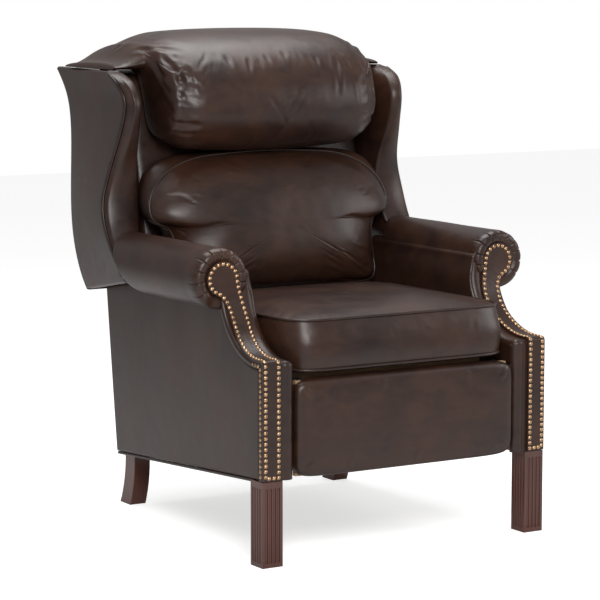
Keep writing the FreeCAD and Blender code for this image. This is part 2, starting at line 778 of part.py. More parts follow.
def make_outside_back():
    """The back panel, shaped to the wings' rear edges."""
    rear = Part.BSplineCurve()
    rear.interpolate([V(0, wing_rear(wing_bottom(849.0)), wing_bottom(849.0))] +
                     [V(0, s["ry"], s["z"]) for s in wing_levels[1:-1]] +
                     [V(0, back_depth, back_top)])
    edge = rear.toShape()
    inner = edge.copy()
    inner.translate(V(0, -outside_back_t, 0))
    ends = [(edge.Vertexes[i].Point, inner.Vertexes[i].Point) for i in (0, 1)]
    wire = Part.Wire([edge, Part.makeLine(*ends[1]), inner, Part.makeLine(*ends[0])])
    face = Part.Face(wire)
    face.translate(V(-back_half, 0, 0))
    return face.extrude(V(2 * back_half, 0, 0))


def wing_rear(z):
    """Depth of the wings' rear edge near its lower end."""
    low, high = wing_levels[0], wing_levels[1]
    return low["ry"] + (high["ry"] - low["ry"]) * (z - low["z"]) / (high["z"] - low["z"])


def make_inside_pad(wing_pad):
    z0, z1, z2 = back_pad_bottom, 615.0, 1000.0
    low = side_prism([(stile_front(z0) - back_pad_t, z0), (stile_front(z0), z0),
                      (stile_front(z1), z1), (stile_front(z1) - back_pad_t, z1)],
                     5 - arm_inner, arm_inner - 5)
    high = side_prism([(stile_front(z1) - back_pad_t, z1), (stile_front(z1), z1),
                       (stile_front(z2), z2), (stile_front(z2) - back_pad_t, z2)],
                      -arm_inner - 19, arm_inner + 19)
    pad = low.fuse(high).removeSplitter()
    return pad.cut(wing_pad).cut(wing_pad.mirror(V(0, 0, 0), V(1, 0, 0)))


def make_back_frame(board, outside):
    x1 = layer_x(1)[0]
    x0 = x1 - stile_w
    z0, z1, z2 = stile_z, 945.0, 998.0
    stile = side_prism([(stile_front(z0), z0), (stile_front(z0) + stile_d, z0),
                        (stile_front(z1) + stile_d, z1), (stile_front(z1), z1)], x0, x1)
    save_pair("back_stile", stile)
    wide = 420.0
    top = side_prism([(stile_front(z1), z1), (stile_front(z1) + stile_d, z1),
                      (stile_front(z2) + stile_d, z2), (stile_front(z2), z2)], -wide, wide)
    save("back_top_rail", between_wings(top, board))
    lid = box(-wide, wide, stile_front(z2 - 12) + stile_d, back_depth, z2 - 12, z2)
    lid = between_wings(lid.cut(top), board)
    save("back_top_board", min(lid.cut(outside).Solids, key=lambda s: s.CenterOfMass.y))
    z3, z4 = 628.0, 670.0
    behind = stile_d + 25
    low = side_prism([(stile_front(z3) + stile_d, z3), (stile_front(z3) + behind, z3),
                      (stile_front(z4) + behind, z4), (stile_front(z4) + stile_d, z4)], -wide, wide)
    save("back_lower_rail", between_wings(low, board))

    pivot = (recline_y, recline_z)
    elbow = (stile_front(520) + stile_d / 2 - 4, 520.0)
    head = (stile_front(640) + stile_d / 2, 640.0)
    l1 = layer_x(1)
    bracket = round_bar(lever_pin, pivot, 12, *l1).fuse(round_bar(pivot, elbow, 15, *l1))
    bracket = bracket.fuse(round_bar(elbow, head, 15, *l1)).removeSplitter()
    bracket = bracket.cut(cross_pin(pivot, recline_pin_r + pin_clear, *l1))
    bracket = bracket.fuse(cross_pin(lever_pin, pin_r, l1[0], layer_x(0)[1]))
    save_pair("back_bracket", bracket.removeSplitter())


def between_wings(bar, board):
    """The middle piece of a long bar once the two wing boards have cut its ends off."""
    cut = bar.cut(board).cut(board.mirror(V(0, 0, 0), V(1, 0, 0)))
    return min(cut.Solids, key=lambda s: abs(s.CenterOfMass.x))


def ring_spline(points):
    curve = Part.BSplineCurve()
    curve.interpolate(points, True)
    return Part.Wire(curve.toShape())


# Distance out from the back pad and scale of the outline at that distance.
lumbar_levels = [(0, 0.93), (14, 0.985), (45, 1.0), (84, 0.96), (106, 0.86), (117, 0.66),
                 (122, 0.40), (123.5, 0.12)]


def make_lumbar():
    """A T-shaped back cushion: wide over the arms, narrower between them."""
    low, w, z = seat_half - 10, seat_half + 45, cushion_top + 4
    half = [(0, z + 300), (w - 130, z + 290), (w - 70, z + 264), (w - 20, z + 220), (w, z + 186),
            (w - 8, z + 162), (low + 14, z + 148), (low, z + 112), (low, z + 60),
            (low * 0.96, z + 14), (low * 0.72, z), (0, z + 1)]
    outline = half + [(-x, h) for x, h in reversed(half[1:-1])]
    mid = z + 150
    face_gap = back_pad_t + soft_clear
    loops = []
    for out, shrink in lumbar_levels:
        ring = []
        for x, h in outline:
            hz = mid + (h - mid) * shrink
            ring.append(V(x * shrink, stile_front(hz) - face_gap - out, hz))
        loops.append(ring_spline(ring))
    return Part.makeLoft(loops, True, False)


def make_pillow():
    """A headrest pillow that hangs over the front of the back and rests on its top."""
    top_z = wing_top + soft_clear
    gap = back_pad_t + soft_clear
    middle_y, middle_z = 640.0, 985.0
    outer = [(612, 829), (535, 845), (503, 905), (525, 990), (600, 1065), (720, 1095),
             (850, 1091), (948, 1062), (984, 1028)]

    def section(x, shrink):
        def at(y, z):
            return V(x, middle_y + (y - middle_y) * shrink, middle_z + (z - middle_z) * shrink)
        low = middle_z + (843.0 - middle_z) * shrink
        start = V(x, stile_front(low) - gap, low)
        end = V(x, middle_y + (976 - middle_y) * shrink, top_z)
        curve = Part.BSplineCurve()
        curve.interpolate([start] + [at(*p) for p in outer] + [end])
        corner = V(x, stile_front(top_z) - gap, top_z)
        return Part.Wire([curve.toShape(), Part.makeLine(end, corner), Part.makeLine(corner, start)])
    w = arm_inner + 16
    main = Part.makeLoft([section(x * w, shrink) for x, shrink in pillow_sections], True, False)
    oval = [(622, 1040), (660, 1074), (760, 1090), (880, 1082), (958, 1050), (958, 1022),
            (860, top_z + 4), (700, top_z + 4)]

    def cap(x, shrink):
        return ring_spline([V(x, 790 + (y - 790) * shrink, 1042 + (z - 1042) * shrink)
                            for y, z in oval])
    wide = back_half + 16
    half = [(wide, 0.40), (wide - 7, 0.68), (wide - 24, 0.88), (w - 8, 0.97)]
    ears = Part.makeLoft([cap(-x, k) for x, k in half] + [cap(x, k) for x, k in reversed(half)],
                         True, False)
    return main.fuse(ears).removeSplitter()


# Place across the pillow as a share of its half width, and scale of the section there.
pillow_sections = [(-1.0, 0.80), (-0.97, 0.87), (-0.88, 0.94), (-0.5, 0.985), (0.0, 1.0),
                   (0.5, 0.985), (0.88, 0.94), (0.97, 0.87), (1.0, 0.80)]


roll = make_arm_roll()
arm_board = make_arm_board()
side_panel = make_side_panel(roll)
arm_cover = make_arm_cover(roll, arm_board, side_panel)
side_panel = side_panel.cut(arm_cover)
save_pair("arm_cover", arm_cover)
save_pair("arm_board", arm_board)
save_pair("side_panel", side_panel)
save_pair("arm_front_panel", make_front_panel())
save_pair("arm_nails", make_nails())
save_pair("front_leg", make_front_leg())
save_pair("rear_leg", make_rear_leg())
save("base_welts", both(make_base_welt()))
make_base_wood()
save_pair("mechanism_plate", make_side_plate())
pin_at = make_links()
make_footrest(pin_at)
make_seat_frame()
save("seat_cushion", make_seat_cushion())
outside_back = make_outside_back()
wing_board = make_wing_board(outside_back)
wing_pad = make_wing_pad(wing_board)
save_pair("wing_board", wing_board)
save_pair("wing_pad", wing_pad)
save("wing_welts", both(make_wing_welt()))
save("outside_back", outside_back)
make_back_frame(wing_board, outside_back)
save("inside_back_pad", make_inside_pad(wing_pad))
save("lumbar_cushion", make_lumbar())
save("headrest_pillow", make_pillow())
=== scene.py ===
import bpy
import numpy as np
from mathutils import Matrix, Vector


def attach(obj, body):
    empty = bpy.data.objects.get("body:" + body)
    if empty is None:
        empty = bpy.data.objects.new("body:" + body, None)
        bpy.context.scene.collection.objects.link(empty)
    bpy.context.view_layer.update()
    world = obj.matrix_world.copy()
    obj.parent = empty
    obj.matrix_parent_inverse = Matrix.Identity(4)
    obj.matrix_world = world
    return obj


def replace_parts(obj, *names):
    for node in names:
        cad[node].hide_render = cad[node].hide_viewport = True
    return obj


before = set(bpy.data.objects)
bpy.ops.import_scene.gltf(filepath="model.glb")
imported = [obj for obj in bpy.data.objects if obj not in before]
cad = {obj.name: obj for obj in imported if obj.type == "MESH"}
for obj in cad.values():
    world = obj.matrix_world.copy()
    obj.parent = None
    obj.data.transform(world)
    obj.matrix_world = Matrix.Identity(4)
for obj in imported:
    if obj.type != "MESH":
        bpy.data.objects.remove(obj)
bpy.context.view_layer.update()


# Legs: solid mahogany, stained red-brown and lacquered to a satin. The front pair is reeded
# with a router and the rear pair is band-sawn to a sabre curve; both are screwed up into the base.

class Tone:
    """A shader socket; arithmetic on it adds Math nodes to its own material."""

    def __init__(self, tree, socket):
        self.tree, self.socket = tree, socket

    def add(self, kind, settings, sockets, output=0):
        """Adds one node: its settings first, then the values or links of its sockets."""
        node = self.tree.nodes.new(kind)
        for key, value in settings.items():
            if key == "stops":
                while len(node.color_ramp.elements) < len(value):
                    node.color_ramp.elements.new(1.0)
                for element, (place, colour) in zip(node.color_ramp.elements, value):
                    element.position, element.color = place, (*colour, 1.0)
            else:
                setattr(node, key, value)
        for key, value in sockets.items():
            if isinstance(value, Tone):
                self.tree.links.new(value.socket, node.inputs[key])
            else:
                node.inputs[key].default_value = value
        return Tone(self.tree, node.outputs[output])

    def math(self, operation, a, b):
        return self.add("ShaderNodeMath", {"operation": operation}, {0: a, 1: b})

    def __add__(self, other):
        return self.math("ADD", self, other)

    def __sub__(self, other):
        return self.math("SUBTRACT", self, other)

    def __rsub__(self, other):
        return self.math("SUBTRACT", other, self)

    def __mul__(self, other):
        return self.math("MULTIPLY", self, other)

    def stretched(self, x, y, z):
        """The same place with each axis scaled, to draw a pattern out along one of them."""
        return self.add("ShaderNodeVectorMath", {"operation": "MULTIPLY"}, {0: self, 1: (x, y, z)})

    def noise(self, scale, detail=3.0, rough=0.5, twist=0.0):
        return self.add("ShaderNodeTexNoise", {}, {"Vector": self, "Scale": scale, "Detail": detail,
                                                   "Roughness": rough, "Distortion": twist})

    def cells(self, scale):
        """Distance to the nearest cell border of an irregular pebble pattern."""
        return self.add("ShaderNodeTexVoronoi", {"feature": "DISTANCE_TO_EDGE"},
                        {"Vector": self, "Scale": scale})

    def ramp(self, *stops):
        return self.add("ShaderNodeValToRGB", {"stops": stops}, {"Fac": self})

    def mixed(self, first, second):
        """The two colours mixed by this value."""
        return self.add("ShaderNodeMix", {"data_type": "RGBA"}, {0: self, 6: first, 7: second}, 2)


def new_finish(name):
    """A material, its surface shader and the place on the object, in metres."""
    made = bpy.data.materials.new(name)
    made.use_nodes = True
    tree = made.node_tree
    place = Tone(tree, tree.nodes.new("ShaderNodeTexCoord").outputs["Object"])
    return made, tree.nodes["Principled BSDF"], place


def finish_surface(surface, colour, roughness, height, depth):
    """Links colour and roughness, and a bump whose height is in shares of depth, in metres."""
    tree = colour.tree
    tree.links.new(colour.socket, surface.inputs["Base Color"])
    tree.links.new(roughness.socket, surface.inputs["Roughness"])
    relief = height.add("ShaderNodeBump", {}, {"Strength": 1.0, "Distance": depth, "Height": height})
    tree.links.new(relief.socket, surface.inputs["Normal"])


def wood(name, dark, light, grain_axis, roughness, coat):
    """Long streaks of grain drawn out along one axis, fine pores and a slow change of tone."""
    made, surface, place = new_finish(name)
    along = [28.0 if k != grain_axis else 1.6 for k in range(3)]
    streaks = place.stretched(*along).noise(1.0, 6.0, 0.62, 0.6)
    pores = place.stretched(*[240.0 if k != grain_axis else 14.0 for k in range(3)]).noise(1.0, 2.0)
    tone = (streaks * 0.75 + place.noise(5.0) * 0.35 - 0.04)
    colour = tone.ramp((0.28, dark), (0.72, light))
    deep = (pores - 0.5) * 0.25 + 0.5
    colour = deep.mixed(colour, tone.ramp((0.2, tuple(c * 0.55 for c in dark)), (0.9, dark)))
    finish_surface(surface, colour, streaks * 0.12 + roughness, pores * 0.6 + streaks * 0.4, 0.0004)
    surface.inputs["Coat Weight"].default_value = coat
    surface.inputs["Coat Roughness"].default_value = 0.22
    return made


def dress(material, *names):
    """Gives CAD nodes a material in place of the plain one they came with."""
    for name in names:
        cad[name].data.materials.clear()
        cad[name].data.materials.append(material)


def both_sides(*names):
    """The names of the left and the right node of each name."""
    return [name + side for name in names for side in ("_left", "_right")]


mahogany = wood("mahogany_lacquer", (0.050, 0.0125, 0.0075), (0.155, 0.040, 0.020), 2, 0.26, 0.35)
dress(mahogany, *both_sides("front_leg", "rear_leg"))

# Hidden frame: kiln-dried hardwood rails and posts, planed and left bare, with ply boards
# inside the arms and behind the footrest.

bare_wood = wood("bare_hardwood", (0.30, 0.185, 0.095), (0.52, 0.36, 0.20), 0, 0.62, 0.0)
bare_upright = wood("bare_hardwood_upright", (0.28, 0.17, 0.09), (0.50, 0.34, 0.19), 2, 0.62, 0.0)
dress(bare_wood, "front_spreader", "rear_rail", "seat_front_rail", "seat_rear_rail", "back_lower_rail",
      "back_top_rail", "footrest_board", *both_sides("base_side_rail", "seat_side_rail"))
dress(bare_upright, *both_sides("front_post", "rear_post", "back_stile", "arm_board"))

# Mechanism: pressed steel plates and flat links, riveted together and dipped in black paint.
# The seat springs are sinuous wire, cut to length and clipped to the rails.


def metal(name, colour, roughness, metallic, fleck):
    """Painted or bare steel: small dents in the finish and a cloudy change of gloss."""
    made, surface, place = new_finish(name)
    cloud = place.noise(38.0, 4.0)
    dents = place.noise(900.0, 2.0)
    shade = cloud.ramp((0.3, tuple(c * (1 - fleck) for c in colour)), (0.7, colour))
    finish_surface(surface, shade, cloud * 0.18 + roughness, dents, 0.00012)
    surface.inputs["Metallic"].default_value = metallic
    return made


black_steel = metal("black_painted_steel", (0.028, 0.028, 0.030), 0.34, 0.0, 0.35)
wire_steel = metal("spring_wire", (0.42, 0.42, 0.43), 0.30, 1.0, 0.30)
dress(black_steel, "tongs_rear_links", "tongs_crossing_links", "tongs_carrier_links",
      "tongs_front_links", "control_links", "drive_rods", "cross_tube",
      *both_sides("mechanism_plate", "back_bracket", "footrest_bracket"))
dress(wire_steel, "seat_springs")

# Nails: domed heads of antiqued brass, hammered in one by one about 11 mm apart, in a closed row
# round the arm's keyhole panel and a second row round the corner on its outer side.

antique_brass, brass_surface, brass_place = new_finish("antique_brass")
patina = brass_place.noise(260.0, 3.0)
brass_tone = patina.ramp((0.34, (0.16, 0.085, 0.042)), (0.50, (0.52, 0.33, 0.19)),
                         (0.8, (0.66, 0.45, 0.29)))
finish_surface(brass_surface, brass_tone, 0.46 - patina * 0.2, patina, 0.0002)
brass_surface.inputs["Metallic"].default_value = 1.0
dress(antique_brass, *both_sides("arm_nails"))

# Leather: one dark espresso hide, aniline-dyed with a warmer brown that shows through where it is
# rubbed, soft semi-gloss top coat and a fine pebble grain. Cut, sewn and pulled over the padding.


def leather(name, waves, dark=(0.0135, 0.0062, 0.0048), warm=(0.050, 0.0185, 0.0090), dimples=0.0):
    """Cloudy dye over a pebble grain; waves is how far the hide undulates, in metres."""
    made, surface, place = new_finish(name)
    cloud = place.noise(5.5, 5.0, 0.55, 0.5)
    rubbed = place.stretched(1.0, 1.0, 2.2).noise(17.0, 4.0, 0.6, 0.8)
    dye = cloud * 0.62 + rubbed * 0.38
    colour = dye.ramp((0.33, dark), (0.52, tuple(0.55 * a + 0.45 * b for a, b in zip(dark, warm))),
                      (0.74, warm))
    pebble = place.cells(720.0).ramp((0.0, (0.0,) * 3), (0.35, (1.0,) * 3))
    fine = place.noise(1500.0, 2.0)
    pulls = place.noise(23.0, 3.0, 0.5, 0.4)
    rolls = place.noise(8.0, 2.0)
    depth = 0.0015
    height = (pebble * 0.000035 + fine * 0.00002 + pulls * (0.16 * waves) + rolls * waves) * (1 / depth)
    if dimples:
        height = height + place.noise(330.0, 1.0) * (dimples / depth)
    gloss = rubbed * 0.16 + cloud * 0.10 + 0.25
    finish_surface(surface, colour, gloss, height, depth)
    surface.inputs["Specular IOR Level"].default_value = 0.42
    return made


hide_taut = leather("espresso_leather_taut", 0.0016)
hide_soft = leather("espresso_leather_soft", 0.0034)
hide_panel = leather("espresso_leather_panel", 0.0010, dimples=0.00045)
hide_welt = leather("espresso_leather_welt", 0.0006, (0.012, 0.0065, 0.005), (0.040, 0.017, 0.010))
dress(hide_panel, *both_sides("arm_front_panel"))
dress(hide_taut, "rear_panel", "outside_back")
dress(hide_welt, "base_welts")

# Outside of the base: one piece of leather a side, pulled over a ply panel with thin batting,
# its front edge tucked behind the nailed facing and its lower edge closed with a welt.

MID_DEPTH = 496.0
SIDE_HALF, SIDE_TAPER = 360.0, 0.05976  # the base's half width in front, and its loss a mm of depth
FRONT_LOW, REAR_LOW = 182.0, 124.0  # heights of the base's lower edge
BASE_REAR, REAR_LEAN = 752.0, 0.138  # depth of the base at its lower edge, and its gain a mm of height
SCOOP_R, SCOOP_TOP, SCOOP_FRONT, EAR_R = 149.0, 586.0, 21.0, 10.0  # the arm's scooped front edge
WING_SLOPE = 0.1617  # fall of the wing's lower edge a mm of depth


def at(x, y, z):
    """Width, depth behind the front legs' faces and height, in mm, as places in the frame."""
    return np.stack(np.broadcast_arrays(x, np.asarray(y) - MID_DEPTH, z), -1) / 1000.0


def step(a, b, v):
    """0 below a, 1 above b, and a smooth cubic between."""
    t = np.clip((np.asarray(v, float) - a) / (b - a), 0, 1)
    return t * t * (3 - 2 * t)


def eased(count):
    """Values from 0 to 1 that lie closer together towards both ends."""
    return np.sin(np.linspace(-np.pi / 2, np.pi / 2, count)) / 2 + 0.5


def rounding(edge, r):
    """How far a face has turned over at a distance in from its edge, rounded by a radius r."""
    edge = np.clip(edge, 0, r)
    return r - np.sqrt(np.clip(r * r - (r - edge) ** 2, 0, None))


def skin(name, p, ends=True):
    """A mesh on a grid of places p[i, j] whose columns join up. Ends closes the first and last
    rows with a fan. Faces are turned to point outwards."""
    rows, cols = p.shape[:2]
    places = p.reshape(-1, 3)
    i, j = np.meshgrid(np.arange(rows - 1), np.arange(cols), indexing="ij")
    k = (j + 1) % cols
    quads = np.stack([i * cols + j, i * cols + k, (i + 1) * cols + k, (i + 1) * cols + j], -1)
    faces = quads.reshape(-1, 4).tolist()
    if ends:
        places = np.vstack([places, p[0].mean(0), p[-1].mean(0)])
        j = np.arange(cols)
        k = (j + 1) % cols
        first, end = rows * cols, rows * cols + 1
        faces += np.stack([np.full(cols, first), k, j], -1).tolist()
        top = (rows - 1) * cols
        faces += np.stack([np.full(cols, end), top + j, top + k], -1).tolist()
    mesh = bpy.data.meshes.new(name)
    mesh.from_pydata(places.tolist(), [], faces)
    corners = np.array([f[:3] for f in faces])
    a, b, c = (places[corners[:, n]] for n in range(3))
    if (np.cross(a, b) * c).sum() < 0:
        mesh.flip_normals()
    mesh.polygons.foreach_set("use_smooth", np.ones(len(faces), bool))
    mesh.update()
    made = bpy.data.objects.new(name, mesh)
    bpy.context.scene.collection.objects.link(made)
    return made


def slab(outer, inner):
    """Rings for a closed sheet: each row runs along the outer face and back along the inner."""
    return np.concatenate([outer, inner[:, ::-1]], 1)


def flow(points, count, closed=False):
    """A smooth line through the points: cubic spans whose end slopes follow the neighbours."""
    p = np.asarray(points, float)
    n = len(p)
    t = np.linspace(0, n if closed else n - 1, count, endpoint=not closed)
    i = np.minimum(t.astype(int), n - 1 if closed else n - 2)
    f = (t - i)[:, None]
    pick = (lambda k: p[k % n]) if closed else (lambda k: p[np.clip(k, 0, n - 1)])
    a, b, c, d = pick(i - 1), pick(i), pick(i + 1), pick(i + 2)
    return b + f * ((c - a) / 2 + f * (a - 2.5 * b + 2 * c - d / 2 + f * (1.5 * (b - c) + (d - a) / 2)))


def settle(piece, material, body):
    """The last touches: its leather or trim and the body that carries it."""
    piece.data.materials.append(material)
    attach(piece, body)
    return piece


def tube(name, path, radius, closed=False, sides=10):
    """A round cord along a line of places, its section turned square to the line."""
    ahead = np.roll(path, -1, 0) - np.roll(path, 1, 0)
    if not closed:
        ahead[0], ahead[-1] = path[1] - path[0], path[-1] - path[-2]
    ahead /= np.linalg.norm(ahead, axis=1)[:, None]
    side = np.cross(ahead, (0.13, 0.09, 0.98))
    side /= np.linalg.norm(side, axis=1)[:, None]
    lift = np.cross(side, ahead)
    a = np.linspace(0, 2 * np.pi, sides, endpoint=False)[None, :, None]
    rings = path[:, None] + radius * (np.cos(a) * side[:, None] + np.sin(a) * lift[:, None])
    if closed:
        rings = np.concatenate([rings, rings[:1]], 0)
    return skin(name, rings, ends=not closed)


def scoop_top(y, inset):
    """Height of the arm's scooped front edge at a depth: ear, then a concave quarter circle."""
    r = SCOOP_R + inset
    rise = SCOOP_TOP - np.sqrt(np.clip(r * r - np.clip(y - SCOOP_FRONT, 0, r) ** 2, 0, None))
    corner = rounding(y - inset + 3.0, EAR_R)
    return np.where(y < inset - 3.0 + EAR_R, SCOOP_TOP - r - corner, rise)


def base_low(y):
    """Height of the base's lower edge at a depth: level over the front leg, then falling."""
    return FRONT_LOW - np.clip(y - 60.0, 0, None) * (FRONT_LOW - REAR_LOW) / (BASE_REAR - 60.0)


def make_side_panel():
    """Columns run up from the welt line to the scoop, the arm roll or the wing's lower edge; the
    face swells a little between its edges and rounds over at them."""
    u, v = eased(150)[None, :], eased(110)[:, None]
    y = 15.6 + u * (BASE_REAR - 15.6)
    lean = step(0.6, 1.0, u) * REAR_LEAN
    low = base_low(y)
    top_y = y + lean * 370
    high = np.minimum(scoop_top(y, 18.0), 554.0 - np.clip(top_y - 520.0, 0, None) * WING_SLOPE)
    z = low + (high - low) * v
    y = y + lean * (z - low)
    edge = np.minimum(np.minimum(z - low, high - z), y - 15.0)
    rear = BASE_REAR + (z - REAR_LOW) * REAR_LEAN - y
    turn = rounding(np.minimum(edge, rear), 7.0)
    puff = 3.2 * np.sin(np.pi * u) ** 0.6 * np.sin(np.pi * v) ** 0.6
    drape = 0.7 * np.sin(y / 31.0 + 0.6 * np.sin(z / 90.0)) * step(300, 530, z) * np.sin(np.pi * u)
    x = SIDE_HALF - 0.3 - y * SIDE_TAPER + puff + drape - turn * 0.9
    return at(x, y, z), at(SIDE_HALF - 11.5 - y * SIDE_TAPER, y, z)


face, back = make_side_panel()
for side, hand in (("_right", 1), ("_left", -1)):
    flip = np.array([hand, 1, 1])
    piece = skin("side_leather" + side, slab(face * flip, back * flip))
    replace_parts(settle(piece, hide_taut, "base"), "side_panel" + side)

# Arms: the roll is cotton and foam tied over a board, with the leather drawn round its front in
# small pleats. The inner pad and the facing are two more panels, sewn together along the scoop.

ROLL_X, ROLL_Z, ROLL_R = 358.0, 590.0, 65.2


def roll_rear(z):
    """Depth of the roll's rear end at a height; it leans with the wing."""
    return 485.0 + (z - 520.0) * 0.8


def make_roll():
    """A profile turned about the roll's axis: pleated ring in front, straight drum, dished rear
    end that leans with the wing. The ring swells only beside the nailed head."""
    profile = flow([(0, 177), (22, 177), (33, 176), (39, 173), (46, 168.5), (54, 168), (60.5, 172),
                    (64.6, 181), (65.6, 194), (ROLL_R, 215)], 90)
    a = np.linspace(0, 2 * np.pi, 400, endpoint=False)[None, :]
    r, y = profile[:, :1], profile[:, 1:]
    deg = (np.degrees(a) + 90) % 360 - 90
    ring = step(-72, -40, deg) * (1 - step(196, 222, deg))
    y = 177 - (177 - y) * np.where(y < 177, 0.25 + 0.75 * ring, 1.0)
    pleats = np.array([-34, -6, 19, 43, 66, 90, 114, 139, 165, 190])
    nearest = np.abs(deg[..., None] - pleats).min(-1) * np.pi / 180
    lean = nearest * np.maximum(r, 40)
    crease = np.exp(-(lean / 1.5) ** 2) * step(40, 46, r) * (1 - step(183, 208, profile[:, 1:])) * ring
    pucker = np.cos(nearest / np.radians(12) * np.pi / 2) * step(44, 58, r) * ring
    r = r - crease * 1.5 + (0.5 - pucker) * 0.7 * (1 - step(180, 215, profile[:, 1:]))
    y = y + crease * 2.6
    x, z = ROLL_X + r * np.cos(a), ROLL_Z + r * np.sin(a)
    front = at(x, y + 0 * a, z)
    t = np.linspace(0.02, 1, 60)[:, None]
    r = ROLL_R * (1 + 0.006 * np.sin(9 * t + 2 * a) * np.sin(np.pi * t))
    drum_y = 215 + (roll_rear(ROLL_Z + 65.0 * np.sin(a)) - 7 - 215) * t
    drum = at(ROLL_X + r * np.cos(a), drum_y, ROLL_Z + r * np.sin(a))
    c = np.linspace(0.1, 1, 14)[:, None] * np.pi / 2
    end_r = 56.0 + 9.2 * np.cos(c)
    end_y = roll_rear(ROLL_Z + end_r * np.sin(a)) - 7 + 6.4 * np.sin(c)
    cap = at(ROLL_X + end_r * np.cos(a), end_y, ROLL_Z + end_r * np.sin(a))
    return np.concatenate([front[1:], drum, cap])


def front_line(inset, count):
    """Depths, heights and outward directions along the arm's front, from foot to roll."""
    r, front = SCOOP_R + inset, inset - 3.0
    level = SCOOP_FRONT - front - EAR_R
    ends = np.cumsum([SCOOP_TOP - r - EAR_R - FRONT_LOW, EAR_R * np.pi / 2, level, r * np.pi / 2])
    s = np.linspace(0, ends[3], count)
    a = np.clip((s - ends[0]) / EAR_R, 0, np.pi / 2)
    b = np.clip((s - ends[2]) / r, 0, np.pi / 2)
    y = front + EAR_R * (1 - np.cos(a)) + np.clip(s - ends[1], 0, level) + r * np.sin(b)
    z = FRONT_LOW + np.clip(s, 0, ends[0]) + EAR_R * np.sin(a) + r * (1 - np.cos(b))
    turn = np.where(b > 0, np.pi / 2 - b, a)
    return y, z, -np.cos(turn), np.sin(turn)


def arm_inside(z):
    """Half width of the arm's inner face, which curves out to meet the roll."""
    return 280.0 + 9.0 * step(530.0, 600.0, z) ** 1.6 + 9.0 * step(599.0, 610.0, z)


def make_inner_pad():
    """Rows run back from the arm's front line; the face rounds over at the front edge."""
    y0, z = front_line(6.0, 200)[:2]
    y0, z = np.append(y0, np.full(12, y0[-1])), np.append(z, np.linspace(587.5, 610, 12))
    u = np.concatenate([np.linspace(0, 0.06, 26), np.linspace(0.066, 1, 70)])[None, :]
    y = y0[:, None] + 1 + (597.0 - y0[:, None]) * u
    zz = z[:, None] + 0 * u
    under = zz - scoop_top(y, 6.0)
    turn = rounding(np.minimum(y - 3.0, np.where(y < 176, -under, 99.0)), 13.0)
    soft = 1.6 * np.sin(np.pi * np.clip((y - 20) / 560, 0, 1))
    soft = soft * np.sin(np.pi * np.clip((zz - 380) / 260, 0, 1))
    x = arm_inside(zz) + turn * 0.9 - soft + 0.3
    keep = z > 380
    inside = at(arm_inside(zz) + 14.0, y, zz)
    return at(x, y, zz)[keep], inside[keep]


def make_facing():
    """A padded strip along the whole front line, rounded at both long edges, a little fuller
    beside the nailed panel and creased where it turns over the ear."""
    y, z, ny, nz = front_line(6.0, 420)
    t = np.concatenate([np.linspace(0, 0.2, 26)[:-1], np.linspace(0.2, 0.86, 30)[:-1],
                        np.linspace(0.86, 1, 18)])[None, :]
    zz = z[:, None] + 0 * t
    left = arm_inside(zz) + 0.2
    x = left + (359.6 - left) * t
    fall = rounding(x - left, 13.0) + rounding(359.8 - x, 6.0)
    swell = 2.0 * np.exp(-((x - 297.0) / 11.0) ** 2)
    seam = 1.6 * np.exp(-((x - 305.5) / 1.6) ** 2) * (zz < 430)
    out = swell - fall - seam
    yy, up = y[:, None] + ny[:, None] * out, zz + nz[:, None] * out
    back = -12.0
    return at(x, yy, up), at(x, y[:, None] + ny[:, None] * back, zz + nz[:, None] * back)


roll = make_roll()
pad_face, pad_back = make_inner_pad()
facing_face, facing_back = make_facing()
for side, hand in (("_right", 1), ("_left", -1)):
    flip = np.array([hand, 1, 1])
    piece = settle(skin("arm_roll" + side, roll * flip), hide_taut, "base")
    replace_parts(piece, "arm_cover" + side)
    piece = skin("arm_inner_pad" + side, slab(pad_face * flip, pad_back * flip))
    settle(piece, hide_taut, "base")
    piece = skin("arm_facing" + side, slab(facing_face * flip, facing_back * flip))
    settle(piece, hide_taut, "base")

# Seat: a loose-look box cushion of foam in a leather case, welted top and bottom, drawn in at the
# welts and crowned between them. It is zipped over its core and hooked to the sliding seat frame.


def squarish(a, b, power, count=150):
    """A rounded rectangle of half sizes a and b: cosine and sine raised to 2 / power, spaced
    evenly along its length."""
    t = np.linspace(0, 2 * np.pi, 4001)
    c, s = np.cos(t), np.sin(t)
    x = np.sign(c) * np.abs(c) ** (2 / power) * a
    y = np.sign(s) * np.abs(s) ** (2 / power) * b
    run = np.concatenate([[0], np.cumsum(np.hypot(np.diff(x), np.diff(y)))])
    at_run = np.linspace(0, run[-1], count, endpoint=False)
    return np.stack([np.interp(at_run, run, x), np.interp(at_run, run, y)], -1)


